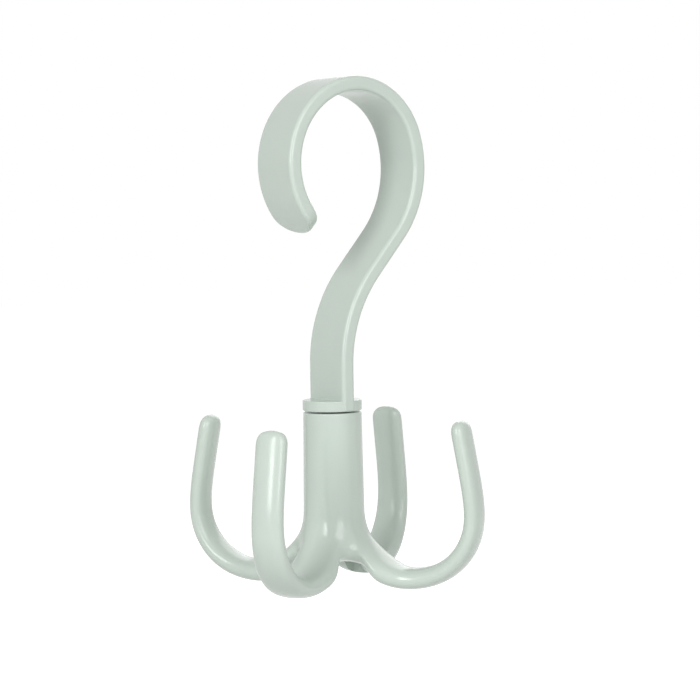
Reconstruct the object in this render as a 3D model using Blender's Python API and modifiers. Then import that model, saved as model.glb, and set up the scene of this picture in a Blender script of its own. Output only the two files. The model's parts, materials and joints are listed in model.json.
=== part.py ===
# Rotating closet hook: a flat plastic hanger hook whose spindle carries a free-turning body with four claws.
# Metres, +Z up. The world origin is the point on the inside of the crown where a closet rod bears.
# The parts are drawn from the swivel: x = y = 0 is its axis, z = 0 the top face of the claw body's stem,
# and the hook's flat profile lies in the XZ plane. An empty carries them down to their place.
import math

import bmesh
import bpy
from mathutils import Matrix, Vector

MM = 0.001

# Running and fitting clearances
seat_gap = 0.3 * MM
turning_gap = 0.6 * MM
thrust_gap = 0.4 * MM
cut_overrun = 4.0 * MM
weld_distance = 0.01 * MM

# Hanger hook: strip
strip_width = 21.6 * MM
strip_thickness = 5.2 * MM
strip_edge_radius = 1.4 * MM
neck_length = 12.4 * MM
out_bend_radius = 50.0 * MM
out_bend_angle = math.radians(41.0)
slope_length = 17.8 * MM
side_bend_radius = 37.5 * MM
side_bend_angle = math.radians(58.5)
crown_bend_radius = 25.8 * MM
crown_bend_angle = math.radians(94.0)
tip_bend_radius = 28.8 * MM
tip_bend_angle = math.radians(120.5)
tongue_length = 8.4 * MM

# Hanger hook: collar and spindle
collar_diameter = 21.3 * MM
collar_height = 3.8 * MM
collar_edge_radius = 0.4 * MM
strip_root_depth = 3.3 * MM
spindle_diameter = 10.0 * MM
spindle_end_chamfer = 0.6 * MM

# Claw body: stem
stem_top_diameter = 20.8 * MM
stem_foot_diameter = 21.8 * MM
stem_straight = 33.0 * MM
stem_flare_start = 43.0 * MM
foot_depth = 53.6 * MM
web_diameter = 31.0 * MM
stem_trim = 12.0 * MM
bore_clearance = 0.4 * MM
shoulder_depth = 44.5 * MM
recess_diameter = 15.4 * MM

# Claw body: claws
claw_count = 4
claw_turn = math.radians(30.3)
claw_width = 11.5 * MM
claw_thickness = 6.0 * MM
claw_bend_reach = 31.2 * MM
claw_bend_depth = 36.3 * MM
claw_bend_radius = 22.9 * MM
claw_lean = math.radians(10.5)
claw_tip_drop = 2.0 * MM
claw_dome_length = 3.0 * MM
claw_edge_crease_share = 0.15
claw_tip_share = 0.6
# Share of the claw's thickness and width that it has through the bend, from the bottom to the top
claw_bend_shares = [1.26, 1.22, 1.14, 1.05, 1.0]
# Share of the turn from claw to claw that a claw's own face of the cage takes, on the stem and at the foot
stem_face_share = 0.50
foot_face_share = 0.74
# A claw's root sections: place along the run from the web's edge to the bottom of the bend, depth of the
# underside between the foot and the bend's bottom, thickness, and width
claw_root_shares = [(0.16, 0.72, 1.40, 1.80), (0.54, 1.04, 1.28, 1.42)]

# Retaining washer
washer_diameter = 14.4 * MM
washer_thickness = 1.2 * MM
washer_hole_clearance = 0.4 * MM

# Retaining screw
screw_diameter = 3.6 * MM
screw_engagement = 16.0 * MM
screw_head_diameter = 7.6 * MM
screw_head_height = 2.6 * MM
screw_point_length = 2.0 * MM
screw_head_rim_share = 0.5
screw_head_crown_share = 0.72
driver_slot_length = 4.4 * MM
driver_slot_width = 1.1 * MM
driver_slot_depth = 1.3 * MM

# Facet counts
round_steps = 48
screw_steps = 24
shoulder_steps = 3
bend_step = math.radians(7.0)
tongue_steps = 5
tongue_first_swing = math.radians(28.0)
edge_segments = 3
edge_angle = math.radians(50.0)
cage_swell_share = 1.07
smooth_levels = 2


def clear_scene():
    for item in list(bpy.data.objects):
        bpy.data.objects.remove(item, do_unlink=True)


def new_collection(name):
    made = bpy.data.collections.new(name)
    bpy.context.scene.collection.children.link(made)
    return made


def material(name, colour, roughness, metallic=0.0):
    made = bpy.data.materials.new(name)
    made.use_nodes = True
    shader = made.node_tree.nodes["Principled BSDF"]
    shader.inputs["Base Color"].default_value = (*colour, 1.0)
    shader.inputs["Roughness"].default_value = roughness
    shader.inputs["Metallic"].default_value = metallic
    made.diffuse_color = (*colour, 1.0)
    return made


def object_from_bmesh(name, shape, home):
    mesh = bpy.data.meshes.new(name)
    shape.to_mesh(mesh)
    shape.free()
    mesh.shade_smooth()
    made = bpy.data.objects.new(name, mesh)
    home.objects.link(made)
    return made


def add_screw_modifier(target, steps):
    turn = target.modifiers.new("turn", "SCREW")
    turn.axis = "Z"
    turn.angle = math.tau
    turn.steps = steps
    turn.render_steps = steps
    turn.use_merge_vertices = True
    turn.merge_threshold = weld_distance
    turn.use_smooth_shade = True


def turned(name, profile, home, steps):
    """A solid of revolution about Z from (radius, height) points listed from the top down."""
    shape = bmesh.new()
    is_ring = profile[0] == profile[-1]
    points = [shape.verts.new((radius, 0.0, height)) for radius, height in profile[:-1 if is_ring else None]]
    for first, second in zip(points, points[1:] + points[:1] if is_ring else points[1:]):
        shape.edges.new((first, second))
    made = object_from_bmesh(name, shape, home)
    add_screw_modifier(made, steps)
    return made


def as_cutter(target):
    target.hide_render = True
    target.display_type = "WIRE"
    return target


def add_boolean(target, tool, operation):
    step = target.modifiers.new(tool.name, "BOOLEAN")
    step.operation = operation
    step.solver = "EXACT"
    step.object = tool


def rounded_shoulder(radius, height, edge_radius, upward):
    """Points of a convex quarter round at the rim of a disc, listed from the top down."""
    points = []
    for index in range(shoulder_steps + 1):
        turn = math.pi / 2.0 * index / shoulder_steps
        across = math.sin(turn) if upward else math.cos(turn)
        along = math.cos(turn) if upward else -math.sin(turn)
        points.append((radius - edge_radius + edge_radius * across,
                       height + (-edge_radius if upward else edge_radius) + edge_radius * along))
    return points


def hook_centre_line():
    """Points and headings of the strip's middle line in the XZ plane, the length to each, and the crown."""
    place = Vector((0.0, turning_gap + collar_height - strip_root_depth))
    heading = math.pi / 2.0
    travelled = 0.0
    stations = [(place.copy(), heading, travelled)]
    crown = None
    runs = [
        (strip_root_depth + neck_length, 0.0, 0.0),
        (0.0, out_bend_radius, -out_bend_angle),
        (slope_length, 0.0, 0.0),
        (0.0, side_bend_radius, side_bend_angle),
        (0.0, crown_bend_radius, crown_bend_angle),
        (0.0, tip_bend_radius, tip_bend_angle),
    ]
    for length, radius, turn in runs:
        if length:
            place = place + Vector((math.cos(heading), math.sin(heading))) * length
            travelled += length
            stations.append((place.copy(), heading, travelled))
            continue
        side = math.copysign(1.0, turn)
        inward = Vector((-math.sin(heading), math.cos(heading))) * side
        centre = place + inward * radius
        steps = math.ceil(abs(turn) / bend_step)
        for index in range(1, steps + 1):
            swung = heading + turn * index / steps
            inward = Vector((-math.sin(swung), math.cos(swung))) * side
            stations.append((centre - inward * radius, swung, travelled + abs(turn) * radius * index / steps))
        if heading < math.pi <= heading + turn:
            crown = centre + Vector((0.0, radius))
        heading += turn
        travelled += abs(turn) * radius
        place = stations[-1][0].copy()
    return stations, crown


def point_before_tip(tip, back):
    """Place and heading on the strip's last bend at a length back from its end."""
    end, end_heading, _ = tip
    heading = end_heading - back / tip_bend_radius
    centre = end + Vector((-math.sin(end_heading), math.cos(end_heading))) * tip_bend_radius
    return centre - Vector((-math.sin(heading), math.cos(heading))) * tip_bend_radius, heading


def hook_strip(home):
    """The flat strip: its middle surface with a tongue-shaped end, thickened and rounded along every edge."""
    stations, _ = hook_centre_line()
    tip = stations[-1]
    half_width = strip_width / 2.0
    last_straight_row = tip[2] - tongue_length
    rows = [(place, half_width) for place, _, run in stations if run < last_straight_row - strip_edge_radius]
    rows.append((point_before_tip(tip, tongue_length)[0], half_width))
    flat_start = tongue_length * (1.0 - math.sin(tongue_first_swing))
    start, _ = point_before_tip(tip, flat_start)
    _, flat_heading = point_before_tip(tip, flat_start / 2.0)
    rows.append((start, half_width * math.cos(tongue_first_swing)))
    shape = bmesh.new()
    pairs = [[shape.verts.new((place.x, side * half, place.y)) for side in (-1.0, 1.0)] for place, half in rows]
    for lower, upper in zip(pairs, pairs[1:]):
        shape.faces.new((lower[0], lower[1], upper[1], upper[0]))
    onward = Vector((math.cos(flat_heading), math.sin(flat_heading)))
    right, left = [], []
    for index in range(1, tongue_steps + 1):
        swing = tongue_first_swing + (math.pi / 2.0 - tongue_first_swing) * index / tongue_steps
        place = start + onward * (flat_start - tongue_length * (1.0 - math.sin(swing)))
        half = half_width * math.cos(swing)
        right.append(shape.verts.new((place.x, half, place.y)))
        if index < tongue_steps:
            left.append(shape.verts.new((place.x, -half, place.y)))
    shape.faces.new([pairs[-1][0], pairs[-1][1]] + right + left[::-1])
    made = object_from_bmesh("hanger_hook", shape, home)
    wall = made.modifiers.new("wall", "SOLIDIFY")
    wall.thickness = strip_thickness
    wall.offset = 0.0
    wall.use_even_offset = True
    rounding = made.modifiers.new("rounding", "BEVEL")
    rounding.width = strip_edge_radius
    rounding.segments = edge_segments
    rounding.limit_method = "ANGLE"
    rounding.angle_limit = edge_angle
    return made


def spindle_end():
    """Depth of the spindle's end, just clear of the washer that the screw draws up to it."""
    return -shoulder_depth - thrust_gap + seat_gap


def hanger_hook():
    """The hook's strip, collar and spindle, one moulding."""
    made = hook_strip(collection)
    collar_radius = collar_diameter / 2.0
    spindle_radius = spindle_diameter / 2.0
    collar_top = turning_gap + collar_height
    profile = [(0.0, collar_top)]
    profile += rounded_shoulder(collar_radius, collar_top, collar_edge_radius, True)
    profile += rounded_shoulder(collar_radius, turning_gap, collar_edge_radius, False)
    profile += [
        (spindle_radius, turning_gap),
        (spindle_radius, spindle_end() + spindle_end_chamfer),
        (spindle_radius - spindle_end_chamfer, spindle_end()),
        (0.0, spindle_end()),
    ]
    collar = as_cutter(turned("collar_and_spindle", profile, cutters, round_steps))
    add_boolean(made, collar, "UNION")
    pilot_radius = screw_diameter / 2.0 + seat_gap
    pilot_depth = screw_engagement + screw_point_length + seat_gap
    pilot = as_cutter(turned("screw_hole", [
        (0.0, spindle_end() + pilot_depth),
        (pilot_radius, spindle_end() + pilot_depth),
        (pilot_radius, spindle_end() - cut_overrun),
        (0.0, spindle_end() - cut_overrun),
    ], cutters, screw_steps))
    add_boolean(made, pilot, "DIFFERENCE")
    return made


def claw_path():
    """Middle line of a claw from the bottom of its bend to its tip: reach, height, heading and share of the
    claw's thickness and width. The bend's outer face keeps its radius, and what is thicker grows inwards."""
    step = (math.pi / 2.0 + claw_lean) / (len(claw_bend_shares) - 1)
    outside = 3.0 / (2.0 + math.cos(step))
    stations = []
    for index, share in enumerate(claw_bend_shares):
        heading = step * index
        middle = (claw_bend_radius - claw_thickness / 2.0 * (share - 1.0)) * outside
        stations.append((claw_bend_reach + middle * math.sin(heading),
                         -claw_bend_depth - middle * math.cos(heading), heading, share))
    reach, height, heading, _ = stations[-1]
    rise = (-claw_tip_drop - height) / math.sin(heading)
    for along, share in [(rise / 2.0, 1.0), (rise - 2.0 * claw_dome_length, 1.0),
                         (rise - claw_dome_length, 1.0), (rise, claw_tip_share)]:
        stations.append((reach + along * math.cos(heading), height + along * math.sin(heading), heading, share))
    return stations


def claw_sections():
    """Cage sections of a claw: middle reach and height, heading, half thickness and half width."""
    half_thick = claw_thickness / 2.0 * cage_swell_share
    half_wide = claw_width / 2.0 * cage_swell_share
    web_edge = web_diameter / 2.0
    run = claw_bend_reach - web_edge
    drop = claw_bend_depth + claw_bend_radius + claw_thickness / 2.0 - foot_depth
    sections = []
    for run_share, depth_share, thick_share, wide_share in claw_root_shares:
        slope = drop / run * math.cos(math.pi / 2.0 * run_share)
        height = half_thick * thick_share - foot_depth - drop * depth_share
        sections.append((web_edge + run * run_share, height, -math.atan(slope),
                         half_thick * thick_share, half_wide * wide_share))
    for reach, height, heading, share in claw_path():
        sections.append((reach, height, heading, half_thick * share, half_wide * share))
    return sections


def stem_rings(shape):
    """Cage rings from above the stem's top face down to the foot. A corner stands out past the true radius,
    because smoothing draws it in to the mean of itself, four times over, and its two neighbours."""
    top, foot = stem_top_diameter / 2.0, stem_foot_diameter / 2.0
    levels = [
        (stem_trim, top, stem_face_share),
        (stem_trim / 2.0, top, stem_face_share),
        (-stem_straight / 2.0, (top + foot) / 2.0, stem_face_share),
        (-stem_straight, foot, stem_face_share),
        (-stem_flare_start, foot, (stem_face_share + foot_face_share) / 2.0),
        (-foot_depth, web_diameter / 2.0, foot_face_share),
    ]
    pitch = math.tau / claw_count
    rings = []
    for height, radius, face_share in levels:
        face = pitch * face_share
        reach = radius * 6.0 / (4.0 + math.cos(face) + math.cos(pitch - face))
        ring = []
        for index in range(claw_count):
            for side in (-1.0, 1.0):
                angle = claw_turn + pitch * index + face / 2.0 * side
                ring.append(shape.verts.new((reach * math.cos(angle), reach * math.sin(angle), height)))
        rings.append(ring)
    return rings


def draw_out_claw(shape, corners, direction, crease):
    """Carries a face's four corners out along a claw's sections and closes its tip."""
    outward = Vector((math.cos(direction), math.sin(direction), 0.0))
    sideways = Vector((-outward.y, outward.x, 0.0))
    last = corners
    for reach, height, heading, half_thick, half_wide in claw_sections():
        middle = outward * reach + Vector((0.0, 0.0, height))
        inner = Vector((0.0, 0.0, math.cos(heading))) - outward * math.sin(heading)
        ring = [shape.verts.new(middle + inner * across * half_thick + sideways * along * half_wide)
                for across, along in ((1.0, -1.0), (-1.0, -1.0), (-1.0, 1.0), (1.0, 1.0))]
        for corner in range(4):
            beside = (corner + 1) % 4
            shape.faces.new((last[corner], ring[corner], ring[beside], last[beside]))
            if last is not corners:
                shape.edges.get((last[corner], ring[corner]))[crease] = claw_edge_crease_share
        last = ring
    shape.faces.new(last)


def claw_cage():
    """Coarse cage of the claw body: a stem with a claw drawn out of every second face above its foot."""
    shape = bmesh.new()
    crease = shape.edges.layers.float.new("crease_edge")
    rings = stem_rings(shape)
    shape.faces.new(rings[0])
    shape.faces.new(rings[-1][::-1])
    for upper, lower in zip(rings, rings[1:]):
        for index in range(len(upper)):
            after = (index + 1) % len(upper)
            if lower is rings[-1] and index % 2 == 0:
                corners = [upper[index], lower[index], lower[after], upper[after]]
                draw_out_claw(shape, corners, claw_turn + math.tau * index / len(upper), crease)
            else:
                shape.faces.new((upper[index], lower[index], lower[after], upper[after]))
    bmesh.ops.recalc_face_normals(shape, faces=shape.faces)
    return shape


def claw_body():
    """The stem with its four claws, one moulding, bored for the spindle and sunk for the washer."""
    made = object_from_bmesh("claw_body", claw_cage(), collection)
    smooth = made.modifiers.new("smooth", "SUBSURF")
    smooth.levels = smooth_levels
    smooth.render_levels = smooth_levels
    bore_radius = spindle_diameter / 2.0 + bore_clearance
    bore = as_cutter(turned("stem_bore", [
        (0.0, stem_trim + cut_overrun),
        (stem_foot_diameter, stem_trim + cut_overrun),
        (stem_foot_diameter, 0.0),
        (bore_radius, 0.0),
        (bore_radius, -shoulder_depth),
        (recess_diameter / 2.0, -shoulder_depth),
        (recess_diameter / 2.0, -foot_depth - cut_overrun),
        (0.0, -foot_depth - cut_overrun),
    ], cutters, round_steps))
    add_boolean(made, bore, "DIFFERENCE")
    return made


def washer_top():
    return -shoulder_depth - thrust_gap


def retaining_washer():
    """A steel washer that overlaps the shoulder in the stem's foot and so carries the claw body."""
    hole_radius = screw_diameter / 2.0 + washer_hole_clearance
    outer = washer_diameter / 2.0
    top = washer_top()
    return turned("retaining_washer", [
        (hole_radius, top),
        (outer, top),
        (outer, top - washer_thickness),
        (hole_radius, top - washer_thickness),
        (hole_radius, top),
    ], collection, round_steps)


def retaining_screw():
    """A pan-head screw driven up into the spindle's end."""
    head_top = washer_top() - washer_thickness - seat_gap
    head_radius = screw_head_diameter / 2.0
    shank_radius = screw_diameter / 2.0
    shank_top = spindle_end() + screw_engagement
    made = turned("retaining_screw", [
        (0.0, shank_top + screw_point_length),
        (shank_radius, shank_top),
        (shank_radius, head_top),
        (head_radius, head_top),
        (head_radius, head_top - screw_head_height * screw_head_rim_share),
        (head_radius * screw_head_crown_share, head_top - screw_head_height),
        (0.0, head_top - screw_head_height),
    ], collection, screw_steps)
    shape = bmesh.new()
    slot_bottom = head_top - screw_head_height + driver_slot_depth
    for length, width in ((driver_slot_length, driver_slot_width), (driver_slot_width, driver_slot_length)):
        height = driver_slot_depth + cut_overrun
        place = Matrix.Translation((0.0, 0.0, slot_bottom - height / 2.0))
        size = Matrix.Diagonal((length, width, height, 1.0))
        bmesh.ops.create_cube(shape, size=1.0, matrix=place @ size)
        slot = as_cutter(object_from_bmesh("driver_slot", shape, cutters))
        add_boolean(made, slot, "DIFFERENCE")
        shape = bmesh.new()
    shape.free()
    return made


def hang_from_rod(parts):
    """Carries the parts by an empty so that the world origin is the rod's place inside the crown."""
    _, crown = hook_centre_line()
    swivel = bpy.data.objects.new("swivel_axis", None)
    swivel.location = (-crown.x, 0.0, -(crown.y - strip_thickness / 2.0))
    collection.objects.link(swivel)
    for item in parts:
        item.parent = swivel


clear_scene()
collection = new_collection("rotating_closet_hook")
cutters = new_collection("cutters")
hook = hanger_hook()
claws = claw_body()
washer = retaining_washer()
screw = retaining_screw()
hook.data.materials.append(material("hook_plastic", (0.58, 0.65, 0.58), 0.32))
claws.data.materials.append(material("claw_plastic", (0.57, 0.64, 0.57), 0.34))
washer.data.materials.append(material("washer_steel", (0.62, 0.62, 0.60), 0.38, 1.0))
screw.data.materials.append(material("screw_steel", (0.60, 0.60, 0.58), 0.32, 1.0))
hang_from_rod([hook, claws, washer, screw] + list(cutters.objects))
bpy.context.view_layer.update()
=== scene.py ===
# Rotating closet hook: a flat plastic hanger hook whose spindle carries a free-turning body with four
# claws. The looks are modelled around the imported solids, in metres, in the order of assembly.
import json
import math

import bmesh
import bpy
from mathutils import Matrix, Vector

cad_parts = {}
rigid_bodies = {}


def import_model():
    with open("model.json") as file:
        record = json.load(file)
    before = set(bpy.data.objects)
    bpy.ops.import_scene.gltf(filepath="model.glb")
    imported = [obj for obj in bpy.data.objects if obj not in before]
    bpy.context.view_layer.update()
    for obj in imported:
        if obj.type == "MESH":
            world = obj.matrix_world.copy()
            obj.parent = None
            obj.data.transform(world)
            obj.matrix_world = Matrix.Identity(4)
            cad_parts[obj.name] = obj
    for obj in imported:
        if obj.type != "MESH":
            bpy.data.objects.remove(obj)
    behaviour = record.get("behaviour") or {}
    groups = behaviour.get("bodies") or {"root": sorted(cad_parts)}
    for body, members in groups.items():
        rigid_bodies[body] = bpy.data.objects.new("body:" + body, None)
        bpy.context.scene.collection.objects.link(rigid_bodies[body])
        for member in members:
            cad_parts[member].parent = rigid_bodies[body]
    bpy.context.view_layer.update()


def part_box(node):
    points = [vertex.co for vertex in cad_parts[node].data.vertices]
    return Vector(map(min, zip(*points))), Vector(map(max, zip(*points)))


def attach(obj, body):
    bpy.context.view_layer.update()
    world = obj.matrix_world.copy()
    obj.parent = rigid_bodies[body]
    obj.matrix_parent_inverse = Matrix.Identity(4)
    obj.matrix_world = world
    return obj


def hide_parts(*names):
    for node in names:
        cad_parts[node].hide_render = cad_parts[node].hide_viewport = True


for item in list(bpy.data.objects):
    bpy.data.objects.remove(item, do_unlink=True)
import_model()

# Hanger hook
# One injection moulding of pale sage plastic: a flat strip with softly rounded edges, bent over the rod
# and ending in a tongue, with a round collar at its root and below it the spindle that the claws turn on.
MM = 0.001
HAIR = 0.001 * MM
weld_distance = 0.002 * MM
round_vertices = 96
hook_smooth_angle = math.radians(32.0)

strip_width = 21.6 * MM
strip_thickness = 5.2 * MM
strip_edge_radius = 1.4 * MM
strip_root_depth = 3.3 * MM
neck_length = 12.39 * MM
# Each bend of the strip's middle line: radius, and turn, to the left where it is positive
out_bend = (50.0 * MM, math.radians(-41.0))
slope_length = 17.8 * MM
loop_bends = [(37.5 * MM, math.radians(58.5)), (25.8 * MM, math.radians(94.0)),
              (28.8 * MM, math.radians(120.5))]
tongue_length = 8.4 * MM
# The most that one stretch of the middle line turns, and the turn from one row of the strip to the next
stretch_turn, row_turn = math.radians(32.0), math.radians(2.5)
turning_gap = 0.6 * MM
collar_height = 3.8 * MM
collar_radius = 10.65 * MM
collar_edge_radius = 0.4 * MM
collar_top = turning_gap + collar_height
root_fillet = 0.3 * MM
fillet_row_shares = (0.0, 0.08, 0.2, 0.4, 0.68, 1.0)
spindle_radius = 5.0 * MM
spindle_end = -44.6 * MM
spindle_chamfer = 0.6 * MM
pilot_radius = 2.1 * MM
pilot_depth = 18.3 * MM

# Every piece is modelled round the origin and carried down to the swivel: the stem's top, on its axis
washer_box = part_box("retaining_washer")
swivel_place = Vector(((washer_box[0].x + washer_box[1].x) / 2.0, 0.0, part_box("claw_body")[1].z))


def pick_object(item):
    """Makes one object the only selected one, and the active one."""
    bpy.ops.object.select_all(action="DESELECT")
    item.select_set(True)
    bpy.context.view_layer.objects.active = item


def start_piece(name):
    """Names the primitive that was just added, settles it and opens it in edit mode, all selected."""
    made = bpy.context.object
    made.name = made.data.name = name
    pick_object(made)
    bpy.ops.object.transform_apply(location=True, rotation=True, scale=True)
    bpy.ops.object.mode_set(mode="EDIT")
    bpy.ops.mesh.select_all(action="SELECT")
    return made


def start_disc(name, vertices, radius, place, turn=0.0):
    """Adds a level disc and starts a piece with it."""
    bpy.ops.mesh.primitive_circle_add(
        vertices=vertices, radius=radius, fill_type="NGON", location=place, rotation=(0.0, 0.0, turn))
    return start_piece(name)


def pick(kind, wanted):
    """In edit mode, selects only the vertices, edges or faces that wanted() says yes to."""
    bpy.ops.mesh.select_mode(type=kind)
    bpy.ops.mesh.select_all(action="DESELECT")
    shape = bmesh.from_edit_mesh(bpy.context.object.data)
    shape.normal_update()
    elements = {"VERT": shape.verts, "EDGE": shape.edges, "FACE": shape.faces}[kind]
    for element in [element for element in elements if wanted(element)]:
        element.select_set(True)
    shape.select_flush_mode()
    bmesh.update_edit_mesh(bpy.context.object.data)


def edge_at(edge, height):
    """True if both ends of an edge lie at a height, a hair's breadth aside."""
    return all(abs(vertex.co.z - height) < HAIR for vertex in edge.verts)


def many_sided(face):
    """True for a face with more than four corners, such as the cap of a round bar."""
    return len(face.verts) > 4


def extrude(step, share=None):
    """Extrudes the selection by a step and, given a share, draws it in or out about the axis."""
    bpy.ops.mesh.extrude_region_move(TRANSFORM_OT_translate={"value": tuple(step)})
    if share:
        bpy.ops.transform.resize(value=(share, share, 1.0), center_override=(0.0, 0.0, 0.0))


def round_edges(radius, segments):
    """Rounds the selected edges."""
    bpy.ops.mesh.bevel(offset=radius, segments=segments, profile=0.5, affect="EDGES")


def face_out():
    """Merges what lies in one place, turns every face outwards and closes edit mode."""
    bpy.ops.mesh.select_all(action="SELECT")
    bpy.ops.mesh.remove_doubles(threshold=weld_distance)
    bpy.ops.mesh.normals_make_consistent(inside=False)
    bpy.ops.object.mode_set(mode="OBJECT")


def combine(target, tool, operation):
    """Joins a tool solid to a target, or cuts it out, removes the tool and cleans the seam's faces."""
    pick_object(target)
    step = target.modifiers.new("combine", "BOOLEAN")
    step.operation = operation
    step.solver = "EXACT"
    step.object = tool
    bpy.ops.object.modifier_apply(modifier=step.name)
    bpy.data.objects.remove(tool, do_unlink=True)
    bpy.ops.object.mode_set(mode="EDIT")
    bpy.ops.mesh.select_all(action="SELECT")
    bpy.ops.mesh.dissolve_degenerate(threshold=weld_distance)
    pick("FACE", many_sided)
    bpy.ops.mesh.quads_convert_to_tris(quad_method="BEAUTY", ngon_method="BEAUTY")
    bpy.ops.object.mode_set(mode="OBJECT")


def settle(item, smooth_angle, weigh_normals=False):
    """Carries a finished piece down to the swivel, and smooths it up to an angle."""
    pick_object(item)
    item.location = swivel_place
    bpy.ops.object.transform_apply(location=True, rotation=False, scale=False)
    bpy.ops.object.shade_smooth_by_angle(angle=smooth_angle)
    if weigh_normals:
        step = item.modifiers.new("flats", "WEIGHTED_NORMAL")
        step.keep_sharp = True
        bpy.ops.object.modifier_apply(modifier=step.name)


def direction_at(heading):
    """The direction in the XZ plane at a heading."""
    return Vector((math.cos(heading), 0.0, math.sin(heading)))


def left_of(direction):
    """The direction in the XZ plane a quarter turn to the left of another."""
    return Vector((-direction.z, 0.0, direction.x))


# The middle line as a curve in the XZ plane, with its length and the stations where the strip gets a row
line_points, rows = [], []
place, heading, run = Vector((0.0, 0.0, collar_top - strip_root_depth)), math.pi / 2.0, 0.0
legs = [(strip_root_depth + neck_length, 0.0), out_bend, (slope_length, 0.0)] + loop_bends
for size, turn in legs:
    parts = max(1, math.ceil(abs(turn) / stretch_turn))
    share = turn / parts
    for _ in range(parts):
        ahead = direction_at(heading)
        heading += share
        after = direction_at(heading)
        if turn:
            radius = math.copysign(size, turn)
            end = place + left_of(ahead) * radius - left_of(after) * radius
            handle = 4.0 / 3.0 * math.tan(abs(share) / 4.0) * size
            length = abs(share) * size
        else:
            end, handle, length = place + ahead * size, size / 3.0, size
        line_points.append((place, place + ahead * handle, end - after * handle, end))
        row_count = max(1, math.ceil(abs(share) / row_turn))
        rows += [run + length * index / row_count for index in range(1, row_count + 1)]
        place, run = end, run + length
strip_length = run

bpy.ops.curve.primitive_bezier_curve_add()
middle_line = bpy.context.object
middle_line.name = "middle_line"
middle_line.data.dimensions = "3D"
middle_line.data.twist_mode = "MINIMUM"
middle_line.data.resolution_u = 64
spline = middle_line.data.splines[0]
spline.bezier_points.add(len(line_points) + 1 - len(spline.bezier_points))
for index, point in enumerate(spline.bezier_points):
    before = line_points[index - 1] if index else None
    after = line_points[index] if index < len(line_points) else None
    point.handle_left_type = point.handle_right_type = "FREE"
    point.co = after[0] if after else before[3]
    point.handle_left = before[2] if before else after[0] * 2.0 - after[1]
    point.handle_right = after[1] if after else before[3] * 2.0 - before[2]
middle_line.location = (0.0, 0.0, 0.0)

# A part of a unit normal that counts as all of it, and one that counts as none
nearly_all, nearly_none = 0.9, 0.1


def strip_corner(edge):
    """True for an edge between a flat side of the strip and a narrow one, but not at its root end."""
    flat = [face for face in edge.link_faces if abs(face.normal.z) > nearly_all]
    narrow = [face for face in edge.link_faces
              if abs(face.normal.z) < nearly_none and face.normal.x > -nearly_none]
    return flat and narrow


# The strip is modelled flat along X: its outline with the tongue, its thickness, its rounded edges and its
# rows. Then it is bent along the line.
tongue_start = strip_length - tongue_length
hook = start_disc("hanger_hook_moulding", round_vertices, strip_width / 2.0, (tongue_start, 0.0, 0.0))
bpy.ops.transform.resize(
    value=(tongue_length / (strip_width / 2.0), 1.0, 1.0), center_override=(tongue_start, 0.0, 0.0))
bpy.ops.mesh.bisect(plane_co=(tongue_start, 0.0, 0.0), plane_no=(1.0, 0.0, 0.0), clear_inner=True)
pick("EDGE", lambda edge: all(abs(vertex.co.x - tongue_start) < HAIR for vertex in edge.verts))
extrude((-tongue_start, 0.0, 0.0))
bpy.ops.mesh.select_all(action="SELECT")
bpy.ops.transform.translate(value=(0.0, 0.0, -strip_thickness / 2.0))
extrude((0.0, 0.0, strip_thickness))
bpy.ops.mesh.select_all(action="SELECT")
bpy.ops.mesh.normals_make_consistent(inside=False)
pick("EDGE", strip_corner)
round_edges(strip_edge_radius, segments=8)

# Rows are cut for the bends, and close together for the small fillet in which the strip's flat sides flare
# out where it rises from the collar
fillet_rows = [strip_root_depth + root_fillet * share for share in fillet_row_shares]
for station in rows[:-1] + fillet_rows:
    bpy.ops.mesh.select_all(action="SELECT")
    bpy.ops.mesh.bisect(plane_co=(station, 0.0, 0.0), plane_no=(1.0, 0.0, 0.0))
for station in fillet_rows[:-1]:
    up = station - strip_root_depth
    flare = root_fillet - math.sqrt(root_fillet ** 2 - (root_fillet - up) ** 2)
    pick("VERT", lambda vertex: abs(vertex.co.x - station) < HAIR)
    bpy.ops.transform.resize(value=(1.0, 1.0, 1.0 + 2.0 * flare / strip_thickness))
bpy.ops.mesh.select_all(action="SELECT")
bpy.ops.transform.rotate(value=math.pi / 2.0, orient_axis="X", center_override=(0.0, 0.0, 0.0))
face_out()
bend = hook.modifiers.new("bend", "CURVE")
bend.object = middle_line
bend.deform_axis = "POS_X"
bpy.ops.object.modifier_apply(modifier=bend.name)
bpy.data.objects.remove(middle_line, do_unlink=True)

# The collar, and the spindle with the hole that the screw is driven into
collar = start_disc("collar_and_spindle", round_vertices, collar_radius, (0.0, 0.0, collar_top))
extrude((0.0, 0.0, -collar_height))
pick("EDGE", lambda edge: edge_at(edge, collar_top) or edge_at(edge, turning_gap))
round_edges(collar_edge_radius, segments=5)
pick("FACE", lambda face: many_sided(face) and face.calc_center_median().z < turning_gap + HAIR)
extrude((0.0, 0.0, 0.0), spindle_radius / (collar_radius - collar_edge_radius))
extrude((0.0, 0.0, spindle_end + spindle_chamfer - turning_gap))
extrude((0.0, 0.0, -spindle_chamfer), (spindle_radius - spindle_chamfer) / spindle_radius)
extrude((0.0, 0.0, 0.0), pilot_radius / (spindle_radius - spindle_chamfer))
extrude((0.0, 0.0, pilot_depth))
face_out()
combine(hook, collar, "UNION")
settle(hook, hook_smooth_angle, weigh_normals=True)


def add_node(tree, kind, values=(), links=(), **settings):
    """Adds a shader node with its settings, input values and incoming links."""
    made = tree.nodes.new(kind)
    for key, value in settings.items():
        setattr(made, key, value)
    for key, value in dict(values).items():
        made.inputs[key].default_value = value
    for key, source in dict(links).items():
        tree.links.new(source, made.inputs[key])
    return made


def add_noise(tree, where, scale, detail, roughness):
    """Adds a noise texture to a shader's tree and gives its grey value."""
    values = {"Scale": scale, "Detail": detail, "Roughness": roughness}
    return add_node(tree, "ShaderNodeTexNoise", values, {"Vector": where}).outputs["Fac"]


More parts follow.
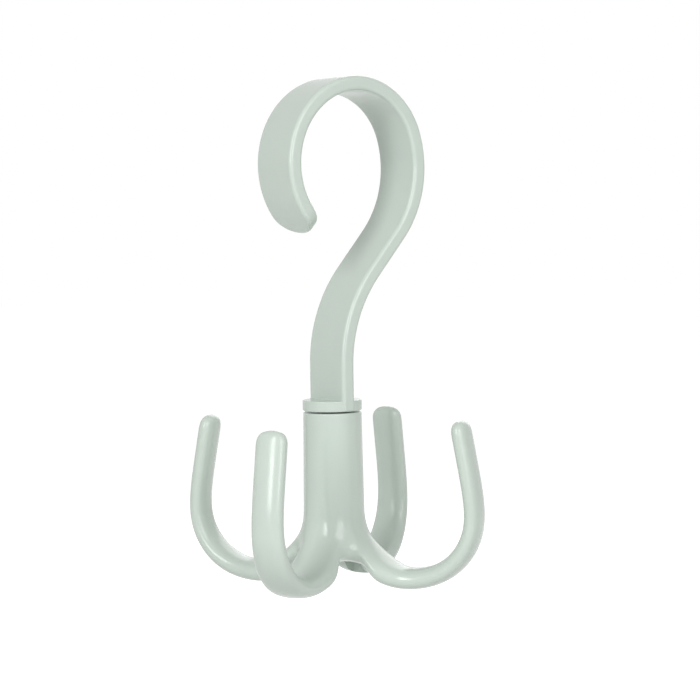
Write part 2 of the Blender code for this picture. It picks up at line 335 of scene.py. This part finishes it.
def new_group(name, inputs, outputs):
    """An empty shader node group, with the nodes that hold its inputs and outputs."""
    tree = bpy.data.node_groups.new(name, "ShaderNodeTree")
    for label, kind, value in inputs:
        tree.interface.new_socket(name=label, in_out="INPUT", socket_type=kind).default_value = value
    for label, kind in outputs:
        tree.interface.new_socket(name=label, in_out="OUTPUT", socket_type=kind)
    return tree, add_node(tree, "NodeGroupInput"), add_node(tree, "NodeGroupOutput")


def new_material(name, values):
    """A material whose uniform values stand on its own Principled BSDF."""
    made = bpy.data.materials.new(name)
    made.use_nodes = True
    shader = made.node_tree.nodes["Principled BSDF"]
    for key, value in values.items():
        shader.inputs[key].default_value = value
    return made, shader


def place_group(made, shader, group, values, bump_distance, bump_strength):
    """Puts a finish's group in a material and leads its colour, roughness and height to the shader."""
    tree = made.node_tree
    finish = add_node(tree, "ShaderNodeGroup", values, node_tree=group)
    bump = add_node(tree, "ShaderNodeBump", {"Distance": bump_distance, "Strength": bump_strength},
                    {"Height": finish.outputs["Height"]})
    tree.links.new(finish.outputs["Colour"], shader.inputs["Base Color"])
    tree.links.new(finish.outputs["Roughness"], shader.inputs["Roughness"])
    tree.links.new(bump.outputs["Normal"], shader.inputs["Normal"])


def paint(item, made):
    """Gives a piece one material and no other."""
    item.data.materials.clear()
    item.data.materials.append(made)


# Moulded plastic: slow clouds in the colour where the melt flowed, a faint waviness from shrinkage, the
# fine grain of the polished mould, and handling smudges that dull the gloss in places
grain_share = 0.03
moulded_skin, skin_in, skin_out = new_group(
    "moulded_skin",
    [("Colour", "NodeSocketColor", (0.6, 0.6, 0.6, 1.0)),
     ("Cloud colour", "NodeSocketColor", (0.5, 0.5, 0.5, 1.0)),
     ("Gloss roughness", "NodeSocketFloat", 0.25), ("Smudge roughness", "NodeSocketFloat", 0.35)],
    [("Colour", "NodeSocketColor"), ("Roughness", "NodeSocketFloat"), ("Height", "NodeSocketFloat")])
where = add_node(moulded_skin, "ShaderNodeTexCoord").outputs["Object"]
clouds = add_noise(moulded_skin, where, scale=38.0, detail=2.0, roughness=0.5)
waves = add_noise(moulded_skin, where, scale=120.0, detail=1.0, roughness=0.4)
grain = add_noise(moulded_skin, where, scale=2600.0, detail=2.0, roughness=0.6)
smudges = add_noise(moulded_skin, where, scale=75.0, detail=2.0, roughness=0.5)
cloud_mask = add_node(moulded_skin, "ShaderNodeMapRange",
                      {"From Min": 0.35, "From Max": 0.65}, {"Value": clouds})
colour_mix = add_node(moulded_skin, "ShaderNodeMix", (), {
    "Factor": cloud_mask.outputs["Result"]}, data_type="RGBA")
moulded_skin.links.new(skin_in.outputs["Colour"], colour_mix.inputs["A"])
moulded_skin.links.new(skin_in.outputs["Cloud colour"], colour_mix.inputs["B"])
smudge_mask = add_node(moulded_skin, "ShaderNodeMapRange",
                       {"From Min": 0.45, "From Max": 0.75}, {"Value": smudges})
dulled = add_node(moulded_skin, "ShaderNodeMapRange", (), {
    "Value": smudge_mask.outputs["Result"], "To Min": skin_in.outputs["Gloss roughness"],
    "To Max": skin_in.outputs["Smudge roughness"]})
fine = add_node(moulded_skin, "ShaderNodeMath", {1: grain_share}, {0: grain}, operation="MULTIPLY")
height_sum = add_node(moulded_skin, "ShaderNodeMath", (), {
    0: waves, 1: fine.outputs["Value"]}, operation="ADD")
moulded_skin.links.new(colour_mix.outputs["Result"], skin_out.inputs["Colour"])
moulded_skin.links.new(dulled.outputs["Result"], skin_out.inputs["Roughness"])
moulded_skin.links.new(height_sum.outputs["Value"], skin_out.inputs["Height"])

plastic_surface = {"Specular IOR Level": 0.5, "IOR": 1.5}
hook_plastic, shader = new_material("sage_plastic_hook", plastic_surface)
place_group(hook_plastic, shader, moulded_skin, {
    "Colour": (0.575, 0.655, 0.588, 1.0), "Cloud colour": (0.562, 0.642, 0.580, 1.0),
    "Gloss roughness": 0.20, "Smudge roughness": 0.27}, bump_distance=0.02 * MM, bump_strength=0.5)
paint(hook, hook_plastic)
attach(hook, "hanger")
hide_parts("hanger_hook")

# Claw body
# One moulding of the same plastic: a hollow stem that spreads at its foot into four upturned claws. It is
# pushed onto the spindle from below and turns on it.
claw_smooth_angle = math.radians(40.0)
stem_trim = 12.0 * MM
stem_top_radius, stem_foot_radius, web_radius = 10.4 * MM, 10.9 * MM, 15.5 * MM
stem_straight = 33.0 * MM
stem_flare_start = 43.0 * MM
foot_depth = 53.6 * MM
stem_rim_radius = 0.35 * MM
bore_radius = 5.4 * MM
shoulder_depth = 44.5 * MM
recess_radius = 7.7 * MM
cut_overrun = 4.0 * MM
claw_count = 4
claw_spacing = math.tau / claw_count
claw_turn = math.radians(30.3)
claw_width, claw_thickness = 11.5 * MM, 6.0 * MM
claw_bend_reach, claw_bend_depth, claw_bend_radius = 31.16 * MM, 36.3 * MM, 22.9 * MM
claw_lean = math.radians(10.5)
claw_tip_depth = 2.0 * MM
claw_dome_length = 3.0 * MM
# The two sections of a claw's root: how far along the root and down it lies, then its thickness and width
claw_root_shares = [(0.16, 0.72, 1.40, 1.80), (0.54, 1.04, 1.28, 1.42)]
# Thickness and width through the bend, from its bottom to its top, and of the tip
claw_bend_shares = [1.26, 1.22, 1.14, 1.05, 1.0]
claw_tip_share = 0.6
claw_edge_crease = 0.15
# How much of the turn from claw to claw is taken up by the face that a claw grows from
flare_face_share, foot_face_share = 0.62, 0.74
# The least dot product of two level directions that are the same, and of two on one claw's side
same_way, same_side = 0.99, 0.7
# The cage is fuller than the claw, because smoothing draws it in
cage_swell = 1.07
smooth_levels = 4

# The claw's cage: middle reach and height, heading, half thickness and half width of each section. The
# corners of the bend stand out past its radius by as much as smoothing draws them in.
half_thick, half_wide = claw_thickness / 2.0 * cage_swell, claw_width / 2.0 * cage_swell
root_run = claw_bend_reach - web_radius
root_drop = claw_bend_depth + claw_bend_radius + claw_thickness / 2.0 - foot_depth
sections = []
for run_share, depth_share, thick_share, wide_share in claw_root_shares:
    fall = math.atan(root_drop / root_run * math.cos(math.pi / 2.0 * run_share))
    sections.append((web_radius + root_run * run_share,
                     half_thick * thick_share - foot_depth - root_drop * depth_share,
                     -fall, half_thick * thick_share, half_wide * wide_share))
bend_turn = (math.pi / 2.0 + claw_lean) / (len(claw_bend_shares) - 1)
for index, share in enumerate(claw_bend_shares):
    middle = claw_bend_radius - claw_thickness / 2.0 * (share - 1.0)
    bend_reach = middle * 3.0 / (2.0 + math.cos(bend_turn))
    sections.append((claw_bend_reach + bend_reach * math.sin(bend_turn * index),
                     -claw_bend_depth - bend_reach * math.cos(bend_turn * index),
                     bend_turn * index, half_thick * share, half_wide * share))
reach, height, heading = sections[-1][:3]
rise = (-claw_tip_depth - height) / math.sin(heading)
for along, share in [(rise / 2.0, 1.0), (rise - 2.0 * claw_dome_length, 1.0),
                     (rise - claw_dome_length, 1.0), (rise, claw_tip_share)]:
    sections.append((reach + along * math.cos(heading), height + along * math.sin(heading), heading,
                     half_thick * share, half_wide * share))


def spin_round():
    """Repeats the whole mesh round the stem's axis, once for each claw."""
    bpy.ops.mesh.select_all(action="SELECT")
    bpy.ops.mesh.spin(steps=claw_count - 1, dupli=True, angle=claw_spacing * (claw_count - 1),
                      center=(0.0, 0.0, 0.0), axis=(0.0, 0.0, 1.0))


def turn_to_claws():
    """Turns the whole mesh about the stem's axis to where the claws stand."""
    bpy.ops.mesh.select_all(action="SELECT")
    bpy.ops.transform.rotate(value=-claw_turn, orient_axis="Z", center_override=(0.0, 0.0, 0.0))


# One claw, drawn out along +X from its root section to its tip, and repeated round the stem. The plane it
# starts from reaches 1 to each side, so that it is scaled by a half thickness and a half width.
reach, height, heading, thick, wide = sections[0]
bpy.ops.mesh.primitive_plane_add(
    size=2.0, location=(reach, 0.0, height), rotation=(0.0, math.pi / 2.0 - heading, 0.0))
bpy.context.object.scale = (thick, wide, 1.0)
claws = start_piece("claws")
corners = len(claws.data.vertices)
for section in sections[1:]:
    next_reach, next_height, next_heading, next_thick, next_wide = section
    middle = (next_reach, 0.0, next_height)
    extrude((next_reach - reach, 0.0, next_height - height))
    bpy.ops.transform.rotate(value=next_heading - heading, orient_axis="Y", center_override=middle)
    thick_share, wide_share = next_thick / thick, next_wide / wide
    bpy.ops.transform.resize(value=(thick_share, wide_share, thick_share), center_override=middle)
    reach, height, heading, thick, wide = section
pick("EDGE", lambda edge: abs(edge.verts[0].index // corners - edge.verts[1].index // corners) == 1)
bpy.ops.transform.edge_crease(value=claw_edge_crease)
pick("FACE", lambda face: all(vertex.index < corners for vertex in face.verts))
bpy.ops.mesh.delete(type="ONLY_FACE")
spin_round()
bpy.ops.object.mode_set(mode="OBJECT")


def ring_reach(radius, face):
    """How far out a ring's corner stands for the smoothed stem to have a radius."""
    return radius * 6.0 / (4.0 + math.cos(face) + math.cos(claw_spacing - face))


def claw_direction(index):
    """The level direction in which a claw points."""
    around = math.tau * index / claw_count
    return Vector((math.cos(around), math.sin(around), 0.0))


# The stem's cage, an eight-sided ring drawn down in steps. Smoothing draws a corner in to the mean of
# itself, four times over, and its two neighbours, so each corner stands out past the stem's true radius.
even_face = claw_spacing / 2.0
flare_face, foot_face = claw_spacing * flare_face_share, claw_spacing * foot_face_share
mean_radius = (stem_top_radius + stem_foot_radius) / 2.0
stem = start_disc("claw_body_moulding", 2 * claw_count, ring_reach(stem_top_radius, even_face),
                  (0.0, 0.0, stem_trim), turn=even_face / 2.0)
last_height, last_radius = stem_trim, stem_top_radius
for height, radius in [(stem_trim / 2.0, stem_top_radius), (-stem_straight / 2.0, mean_radius),
                       (-stem_straight, stem_foot_radius), (-stem_flare_start, stem_foot_radius),
                       (-foot_depth, web_radius)]:
    extrude((0.0, 0.0, height - last_height), radius / last_radius)
    last_height, last_radius = height, radius
for height, radius, face in [(-stem_flare_start, stem_foot_radius, flare_face),
                             (-foot_depth, web_radius, foot_face)]:
    even_reach, wide_reach = ring_reach(radius, even_face), ring_reach(radius, face)
    outward_step = wide_reach * math.cos(face / 2.0) - even_reach * math.cos(even_face / 2.0)
    widen = wide_reach * math.sin(face / 2.0) / (even_reach * math.sin(even_face / 2.0))
    for index in range(claw_count):
        direction = claw_direction(index)
        pick("EDGE", lambda edge: edge_at(edge, height) and edge.verts[0].co.dot(direction) > 0.0
             and abs((edge.verts[0].co - edge.verts[1].co).dot(direction)) < HAIR)
        bpy.ops.transform.translate(value=tuple(direction * outward_step))
        middle = direction * wide_reach * math.cos(face / 2.0) + Vector((0.0, 0.0, height))
        bpy.ops.transform.resize(value=(widen, widen, 1.0), center_override=tuple(middle))
bpy.ops.object.mode_set(mode="OBJECT")


def root_face(face):
    """True for the face low on the stem that the claw in the present direction grows from."""
    middle = face.calc_center_median()
    low = all(-foot_depth - HAIR < vertex.co.z < -stem_flare_start + HAIR for vertex in face.verts)
    faces_claw = middle.xy.normalized().dot(direction.xy) > same_way and middle.dot(direction) < web_radius
    return len(face.verts) == 4 and low and faces_claw


def root_rim(edge):
    """True for the open edges that the claw in the present direction is bridged between."""
    middle = (edge.verts[0].co + edge.verts[1].co).xy.normalized()
    return len(edge.link_faces) == 1 and middle.dot(direction.xy) > same_side


# Each claw is bridged to the stem where one of its wide faces is taken out, and the whole is smoothed
bpy.ops.object.select_all(action="DESELECT")
claws.select_set(True)
stem.select_set(True)
bpy.context.view_layer.objects.active = stem
bpy.ops.object.join()
bpy.ops.object.mode_set(mode="EDIT")
for index in range(claw_count):
    direction = claw_direction(index)
    pick("FACE", root_face)
    bpy.ops.mesh.delete(type="ONLY_FACE")
    pick("EDGE", root_rim)
    bpy.ops.mesh.bridge_edge_loops()
turn_to_claws()
face_out()
smooth = stem.modifiers.new("smooth", "SUBSURF")
smooth.levels = smooth.render_levels = smooth_levels
bpy.ops.object.modifier_apply(modifier=smooth.name)

# The stem's top is trimmed flat, with a rounded rim
bpy.ops.object.mode_set(mode="EDIT")
bpy.ops.mesh.select_all(action="SELECT")
bpy.ops.mesh.bisect(plane_co=(0.0, 0.0, 0.0), plane_no=(0.0, 0.0, 1.0), use_fill=True, clear_outer=True)
pick("EDGE", lambda edge: edge_at(edge, 0.0))
round_edges(stem_rim_radius, segments=4)
bpy.ops.object.mode_set(mode="OBJECT")

# Under each root a pocket with a sloping roof keeps the thick plastic from sinking as it cools
pocket_start, pocket_length, pocket_half_width = 11.0 * MM, 15.0 * MM, 3.2 * MM
pocket_roof, pocket_roof_radius, pocket_fall = -51.5 * MM, 1.2 * MM, math.radians(22.0)
pocket_depth = foot_depth / 2.0
pocket_centre = pocket_start + pocket_half_width
pocket_vertices = 32


def pocket_roof_edge(edge):
    """True for an edge of a pocket's roof."""
    return any(many_sided(face) and face.calc_center_median().z > pocket_roof - pocket_depth / 2.0
               for face in edge.link_faces)


pockets = start_disc("root_pockets", pocket_vertices, pocket_half_width, (pocket_centre, 0.0, pocket_roof))
pick("VERT", lambda vertex: vertex.co.x > pocket_centre + HAIR)
bpy.ops.transform.translate(value=(pocket_length - 2.0 * pocket_half_width, 0.0, 0.0))
bpy.ops.mesh.select_all(action="SELECT")
bpy.ops.transform.rotate(
    value=-pocket_fall, orient_axis="Y", center_override=(pocket_start, 0.0, pocket_roof))
extrude((0.0, 0.0, -pocket_depth))
pick("EDGE", pocket_roof_edge)
round_edges(pocket_roof_radius, segments=4)
spin_round()
turn_to_claws()
face_out()
combine(stem, pockets, "DIFFERENCE")

# The stem is bored for the spindle, and sunk from below for the washer
bore = start_disc("stem_bore", round_vertices, bore_radius, (0.0, 0.0, cut_overrun))
extrude((0.0, 0.0, -shoulder_depth - cut_overrun))
extrude((0.0, 0.0, 0.0), recess_radius / bore_radius)
extrude((0.0, 0.0, shoulder_depth - foot_depth - cut_overrun))
face_out()
combine(stem, bore, "DIFFERENCE")
settle(stem, claw_smooth_angle)

claw_plastic, shader = new_material("sage_plastic_claws", plastic_surface)
place_group(claw_plastic, shader, moulded_skin, {
    "Colour": (0.572, 0.652, 0.585, 1.0), "Cloud colour": (0.558, 0.638, 0.574, 1.0),
    "Gloss roughness": 0.19, "Smudge roughness": 0.26}, bump_distance=0.02 * MM, bump_strength=0.5)
paint(stem, claw_plastic)
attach(stem, "claws")
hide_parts("claw_body")

# Retaining washer
# A stamped washer of zinc-plated steel in the recess in the stem's foot. It overlaps the shoulder inside
# the stem and so carries the claw body.
washer_radius, washer_hole_radius, washer_thickness = 7.2 * MM, 2.2 * MM, 1.2 * MM
washer_top = -44.9 * MM
washer_foot = washer_top - washer_thickness
steel_smooth_angle, corner_angle = math.radians(40.0), math.radians(60.0)
washer = start_disc("zinc_plated_washer", round_vertices, washer_radius, (0.0, 0.0, washer_top))
extrude((0.0, 0.0, -washer_thickness))
pick("FACE", many_sided)
bpy.ops.mesh.inset(thickness=washer_radius - washer_hole_radius)
pick("FACE", many_sided)
bpy.ops.mesh.bridge_edge_loops()
# The die rounds the edge on the side that it enters, and leaves the other nearly sharp
die_side_radius, far_side_radius = 0.28 * MM, 0.08 * MM
for height, radius, segments in [(washer_foot, die_side_radius, 4), (washer_top, far_side_radius, 2)]:
    pick("EDGE", lambda edge: edge_at(edge, height) and edge.calc_face_angle(0.0) > corner_angle)
    round_edges(radius, segments)
face_out()
settle(washer, steel_smooth_angle, weigh_normals=True)

# Zinc plating: soft spangles in the colour, dull patches where it was tumbled, and fine rolling marks
zinc_plate, zinc_in, zinc_out = new_group(
    "zinc_plate",
    [("Colour", "NodeSocketColor", (0.6, 0.6, 0.6, 1.0)),
     ("Spangle colour", "NodeSocketColor", (0.5, 0.5, 0.5, 1.0)),
     ("Bright roughness", "NodeSocketFloat", 0.25), ("Dull roughness", "NodeSocketFloat", 0.4)],
    [("Colour", "NodeSocketColor"), ("Roughness", "NodeSocketFloat"), ("Height", "NodeSocketFloat")])
where = add_node(zinc_plate, "ShaderNodeTexCoord").outputs["Object"]
spangles = add_node(zinc_plate, "ShaderNodeTexVoronoi", {"Scale": 900.0, "Smoothness": 0.6},
                    {"Vector": where}, feature="SMOOTH_F1")
dull = add_noise(zinc_plate, where, scale=420.0, detail=3.0, roughness=0.6)
stretched = add_node(zinc_plate, "ShaderNodeMapping",
                     {"Scale": (300.0, 9000.0, 9000.0)}, {"Vector": where})
marks = add_noise(zinc_plate, stretched.outputs["Vector"], scale=1.0, detail=2.0, roughness=0.5)
colour_mix = add_node(zinc_plate, "ShaderNodeMix", (), {
    "Factor": spangles.outputs["Distance"]}, data_type="RGBA")
zinc_plate.links.new(zinc_in.outputs["Colour"], colour_mix.inputs["A"])
zinc_plate.links.new(zinc_in.outputs["Spangle colour"], colour_mix.inputs["B"])
dulled = add_node(zinc_plate, "ShaderNodeMapRange", {"From Min": 0.35, "From Max": 0.65}, {
    "Value": dull, "To Min": zinc_in.outputs["Bright roughness"],
    "To Max": zinc_in.outputs["Dull roughness"]})
zinc_plate.links.new(colour_mix.outputs["Result"], zinc_out.inputs["Colour"])
zinc_plate.links.new(dulled.outputs["Result"], zinc_out.inputs["Roughness"])
zinc_plate.links.new(marks, zinc_out.inputs["Height"])

washer_steel, shader = new_material("zinc_plated_sheet", {"Metallic": 1.0})
place_group(washer_steel, shader, zinc_plate, {
    "Colour": (0.66, 0.67, 0.68, 1.0), "Spangle colour": (0.56, 0.58, 0.60, 1.0),
    "Bright roughness": 0.26, "Dull roughness": 0.42}, bump_distance=0.004 * MM, bump_strength=0.5)
paint(washer, washer_steel)
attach(washer, "hanger")
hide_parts("retaining_washer")

# Retaining screw
# A zinc-plated steel self-tapping screw with a pan head and a cross recess. It is driven up into the
# spindle's end, and its head holds the washer.
screw_core_radius = 1.8 * MM
screw_head_gap = 0.3 * MM
screw_head_top = washer_foot - screw_head_gap
screw_head_radius, screw_head_height = 3.8 * MM, 2.6 * MM
screw_seat_radius = 0.15 * MM
screw_grip = 16.0 * MM
screw_shank_top = spindle_end + screw_grip
screw_point_length, screw_point_share = 2.0 * MM, 0.12
head_vertices, core_vertices = 64, 48
# The rim's part of the head's height, and the steps, fullness and middle flat of the crown above it
rim_share, crown_steps, crown_fullness, crown_flat_share = 0.42, 9, 0.7, 0.35
core_overlap = 0.8 * MM
cross_arm, cross_width, cross_depth = 4.4 * MM, 1.1 * MM, 1.3 * MM
cross_bottom_share = 0.62

# The head: a disc whose rim stands up square and whose crown is drawn in step by step to a low dome
screw = start_disc("pan_head_screw", head_vertices, screw_head_radius, (0.0, 0.0, screw_head_top))
rim_height = screw_head_height * rim_share
crown_height = screw_head_height - rim_height
extrude((0.0, 0.0, -rim_height))
last_share, last_drop = 1.0, 0.0
for step_index in range(1, crown_steps):
    swing = math.pi / 2.0 * step_index / crown_steps
    share, drop = math.cos(swing) ** crown_fullness, crown_height * math.sin(swing)
    extrude((0.0, 0.0, last_drop - drop), share / last_share)
    last_share, last_drop = share, drop
extrude((0.0, 0.0, last_drop - crown_height), crown_flat_share)
pick("EDGE", lambda edge: edge_at(edge, screw_head_top))
round_edges(screw_seat_radius, segments=2)
face_out()

# The shank's core with its point
core_start = screw_head_top - core_overlap
core = start_disc("screw_core", core_vertices, screw_core_radius, (0.0, 0.0, core_start))
extrude((0.0, 0.0, screw_shank_top - core_start))
extrude((0.0, 0.0, screw_point_length), screw_point_share)
face_out()
combine(screw, core, "UNION")

# The cross recess, narrower at its bottom
for turn in (0.0, math.pi / 2.0):
    bpy.ops.mesh.primitive_cube_add(
        size=1.0, rotation=(0.0, 0.0, turn),
        location=(0.0, 0.0, screw_head_top - screw_head_height + cross_depth / 2.0))
    bpy.context.object.scale = (cross_arm, cross_width, cross_depth * 2.0)
    slot = start_piece("cross_recess")
    pick("FACE", lambda face: face.normal.z > nearly_all)
    bpy.ops.transform.resize(value=(cross_bottom_share, cross_bottom_share, 1.0))
    face_out()
    combine(screw, slot, "DIFFERENCE")
settle(screw, steel_smooth_angle, weigh_normals=True)

screw_steel, shader = new_material("zinc_plated_wire", {"Metallic": 1.0})
place_group(screw_steel, shader, zinc_plate, {
    "Colour": (0.62, 0.63, 0.64, 1.0), "Spangle colour": (0.52, 0.53, 0.55, 1.0),
    "Bright roughness": 0.22, "Dull roughness": 0.36}, bump_distance=0.003 * MM, bump_strength=0.4)
paint(screw, screw_steel)
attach(screw, "hanger")
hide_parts("retaining_screw")

# Studio
# A wide pale floor under the hanging hook, a white surround, three upright softboxes in front and one
# behind, and the camera at the photograph's angle.
floor_height, floor_radius = -300.0 * MM, 6.0
white = (1.0, 1.0, 1.0, 1.0)
floor = start_disc("studio_floor", round_vertices, floor_radius, (0.0, 0.0, floor_height))
bpy.ops.object.mode_set(mode="OBJECT")


def seen_ray(tree):
    """1 for the rays that show the surround: straight to the camera, off gloss or through glass."""
    path = add_node(tree, "ShaderNodeLightPath")
    shown = add_node(tree, "ShaderNodeMath", (), {
        0: path.outputs["Is Camera Ray"], 1: path.outputs["Is Glossy Ray"]}, operation="MAXIMUM")
    shown = add_node(tree, "ShaderNodeMath", (), {
        0: shown.outputs["Value"], 1: path.outputs["Is Transmission Ray"]}, operation="MAXIMUM")
    return shown.outputs["Value"]


# Near the hook the floor glows less than further out, so that the hook's soft shadow still shows on it.
# Seen from below, it is clear.
near_glow, far_glow, glow_spread = 0.50, 0.72, (0.25, 0.55)
floor_paint = bpy.data.materials.new("pale_floor")
floor_paint.use_nodes = True
tree = floor_paint.node_tree
tree.nodes.clear()
matt = add_node(tree, "ShaderNodeBsdfDiffuse", {"Color": (0.80, 0.80, 0.80, 1.0)})
where = add_node(tree, "ShaderNodeTexCoord").outputs["Object"]
from_foot = add_node(tree, "ShaderNodeVectorMath", {1: (0.0, 0.0, floor_height)}, {0: where},
                     operation="DISTANCE")
floor_glow = add_node(tree, "ShaderNodeMapRange", {
    "From Min": glow_spread[0], "From Max": glow_spread[1], "To Min": near_glow, "To Max": far_glow},
    {"Value": from_foot.outputs["Value"]})
lift = add_node(tree, "ShaderNodeMath", (), {
    0: seen_ray(tree), 1: floor_glow.outputs["Result"]}, operation="MULTIPLY")
glow = add_node(tree, "ShaderNodeEmission", {"Color": white}, {"Strength": lift.outputs["Value"]})
lit = add_node(tree, "ShaderNodeAddShader", (), {0: matt.outputs["BSDF"], 1: glow.outputs["Emission"]})
clear = add_node(tree, "ShaderNodeBsdfTransparent")
underside = add_node(tree, "ShaderNodeNewGeometry").outputs["Backfacing"]
sided = add_node(tree, "ShaderNodeMixShader", (), {
    0: underside, 1: lit.outputs["Shader"], 2: clear.outputs["BSDF"]})
add_node(tree, "ShaderNodeOutputMaterial", (), {"Surface": sided.outputs["Shader"]})
paint(floor, floor_paint)

ambient_light = 0.37
world = bpy.data.worlds.new("studio_surround")
world.use_nodes = True
tree = world.node_tree
tree.nodes.clear()
strength = add_node(tree, "ShaderNodeMapRange", {"To Min": ambient_light, "To Max": 1.0},
                    {"Value": seen_ray(tree)})
surround = add_node(tree, "ShaderNodeBackground", {"Color": white},
                    {"Strength": strength.outputs["Result"]})
add_node(tree, "ShaderNodeOutputWorld", (), {"Surface": surround.outputs["Background"]})
bpy.context.scene.world = world

camera_place = swivel_place + Vector((-0.46166, -0.65776, 0.07025))
camera_turn = (math.radians(86.5664), math.radians(0.95), math.radians(-35.6))
bpy.ops.object.camera_add(location=camera_place, rotation=camera_turn)
camera = bpy.context.object
camera.name = "photo_camera"
camera.data.sensor_width = 36.0
camera.data.lens = 115.507
camera.data.clip_start, camera.data.clip_end = 0.01, 50.0
bpy.context.scene.camera = camera

softbox_distance = 1.1
softbox_aim = swivel_place + Vector((0.0, 0.0, 10.0 * MM))


def add_softbox(name, azimuth, elevation, size, power):
    """An area light aimed at the stem; its azimuth is the degrees to the right of the camera's side."""
    towards_camera = (camera_place - softbox_aim).xy.normalized()
    around = math.atan2(towards_camera.y, towards_camera.x) + math.radians(azimuth)
    rise = math.radians(elevation)
    level = math.cos(rise)
    offset = Vector((math.cos(around) * level, math.sin(around) * level, math.sin(rise)))
    bpy.ops.object.light_add(type="AREA", location=softbox_aim + offset * softbox_distance)
    lamp = bpy.context.object
    lamp.name = name
    lamp.rotation_euler = (-offset).to_track_quat("-Z", "Y").to_euler()
    lamp.data.shape = "RECTANGLE"
    lamp.data.size, lamp.data.size_y = size
    lamp.data.energy = power
    lamp.visible_camera = False


add_softbox("left_softbox", azimuth=-36.0, elevation=22.0, size=(0.21, 0.70), power=4.6)
add_softbox("front_softbox", azimuth=21.0, elevation=22.0, size=(0.55, 0.70), power=4.5)
add_softbox("right_softbox", azimuth=50.0, elevation=25.0, size=(0.60, 0.70), power=0.9)
add_softbox("back_softbox", azimuth=162.0, elevation=24.0, size=(0.70, 0.70), power=1.8)

bpy.context.scene.view_settings.view_transform = "Standard"
